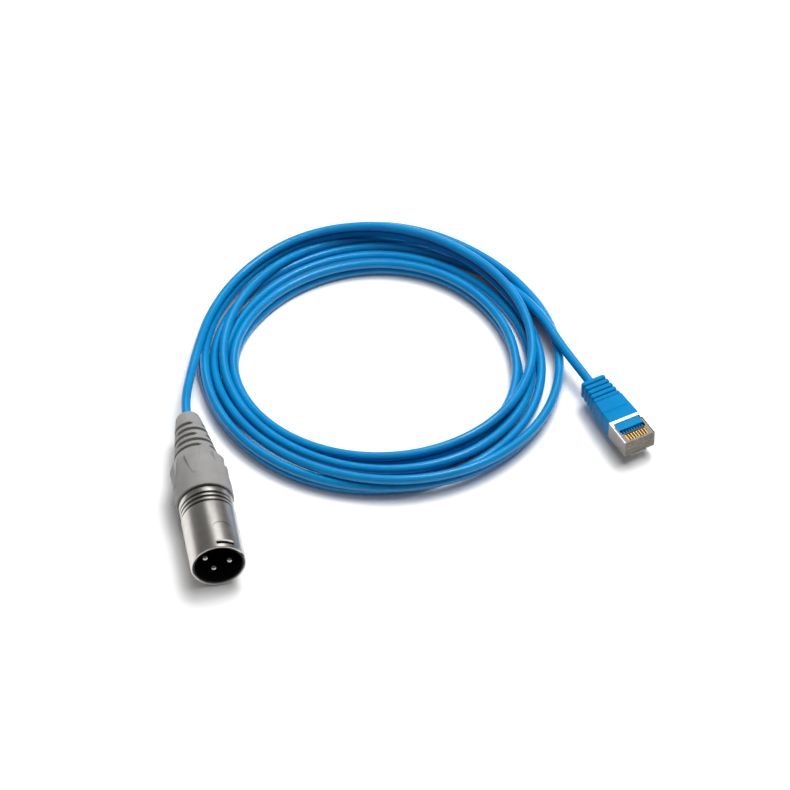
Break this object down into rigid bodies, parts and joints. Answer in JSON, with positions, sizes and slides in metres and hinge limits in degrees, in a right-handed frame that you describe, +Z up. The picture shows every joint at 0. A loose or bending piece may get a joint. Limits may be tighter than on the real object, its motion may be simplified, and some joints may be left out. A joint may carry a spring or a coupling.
{
  "type": "xlr to modular plug cable",
  "caption": "Slim round cable wound in a loose coil, with a male XLR connector on one end and a shielded latching modular plug in a ribbed boot on the other.",
  "frame": {"origin": "middle of the rectangle that the two connectors span, on the surface the coil lies on", "axes": "+Z up; the XLR connector lies to -X and the modular plug to +X, both pointing towards -Y"},
  "size_m": [0.1626, 0.1696, 0.0196],
  "materials": {
    "nickel_shell": "satin nickel plating",
    "pin_metal": "bright plated",
    "black_plastic": "matte moulded",
    "boot_grey": "matte moulded",
    "chuck_plastic": "moulded",
    "cable_jacket": "glossy soft PVC",
    "wire_jacket": "thin insulation",
    "shield_metal": "bright plated sheet",
    "clear_plastic": "clear moulded",
    "bar_blue": "moulded",
    "boot_blue": "satin moulded",
    "contact_gold": "gold plated"
  },
  "bodies": {
    "cable": {"xlr_shell": "nickel_shell", "xlr_liner": "black_plastic", "xlr_insert": "black_plastic", "xlr_pin_1": "pin_metal", "xlr_pin_2": "pin_metal", "xlr_pin_3": "pin_metal", "xlr_earth_lug": "pin_metal", "xlr_wire_1": "wire_jacket", "xlr_wire_2": "wire_jacket", "xlr_wire_3": "wire_jacket", "xlr_jacket_end": "cable_jacket", "xlr_lead": "cable_jacket", "cable_coil": "cable_jacket", "plug_lead": "cable_jacket", "plug_jacket_end": "cable_jacket", "plug_wires": "wire_jacket", "plug_shield": "shield_metal", "plug_housing": "clear_plastic", "plug_load_bar": "bar_blue", "plug_contact_1": "contact_gold", "plug_contact_2": "contact_gold", "plug_contact_3": "contact_gold", "plug_contact_4": "contact_gold", "plug_contact_5": "contact_gold", "plug_contact_6": "contact_gold", "plug_contact_7": "contact_gold", "plug_contact_8": "contact_gold", "plug_boot": "boot_blue"},
    "chuck": {"xlr_chuck": "chuck_plastic"},
    "boot": {"xlr_boot": "boot_grey"},
    "latch": {"plug_latch": "clear_plastic"}
  },
  "joints": [
    {"name": "chuck_slide", "type": "slide", "parent": "cable", "child": "chuck", "axis": [-0.1819, 0.9833, 0], "range_m": [0, 0.0045]},
    {"name": "boot_turn", "type": "hinge", "parent": "chuck", "child": "boot", "pos_m": [-0.06403, -0.04285, 0.0098], "axis": [-0.1819, 0.9833, 0], "range_deg": [0, 1080]},
    {"name": "latch_press", "type": "hinge", "parent": "cable", "child": "latch", "pos_m": [0.07582, 0.01489, 0.0033], "axis": [0.8776, 0.4795, 0], "range_deg": [0, 12], "stiffness_Nm_per_rad": 0.02, "springref_deg": -8.59}
  ],
  "couplings": [
    {"joint": "boot_turn", "follows": "chuck_slide", "rad_per_m": 4188.8}
  ]
}
